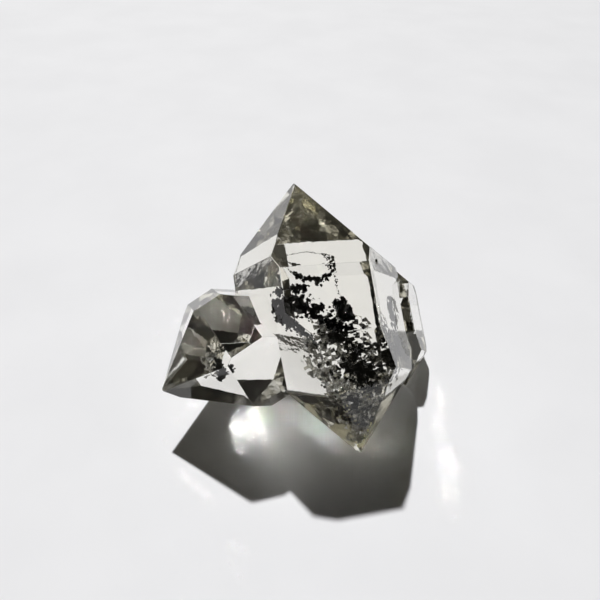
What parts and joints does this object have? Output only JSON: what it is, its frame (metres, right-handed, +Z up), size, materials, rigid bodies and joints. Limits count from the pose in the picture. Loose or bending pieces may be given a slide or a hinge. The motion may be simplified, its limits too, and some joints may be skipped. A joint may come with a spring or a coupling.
{
  "type": "herkimer diamond quartz cluster",
  "caption": "Clear doubly terminated quartz crystals grown together, with black carbon sealed in pockets inside them.",
  "frame": {"origin": "on the plane that the cluster rests on, under the middle of its outline", "axes": "+Z up from the resting face; +Y away from the picture's viewer, the way the main crystal's free point leans; +X along the cluster's longest side, from the side crystal to the twin crystal"},
  "size_m": [0.0208, 0.0162, 0.0141],
  "materials": {
    "quartz": "natural crystal faces, bright and smooth",
    "carbon": "black, broken, satin to bright"
  },
  "bodies": {
    "root": {"quartz_upper": "quartz", "quartz_lower": "quartz", "carbon_band": "carbon", "carbon_barrel": "carbon", "carbon_core": "carbon", "carbon_cloud": "carbon", "carbon_foot": "carbon", "carbon_rim": "carbon", "carbon_seed": "carbon"}
  },
  "joints": []
}
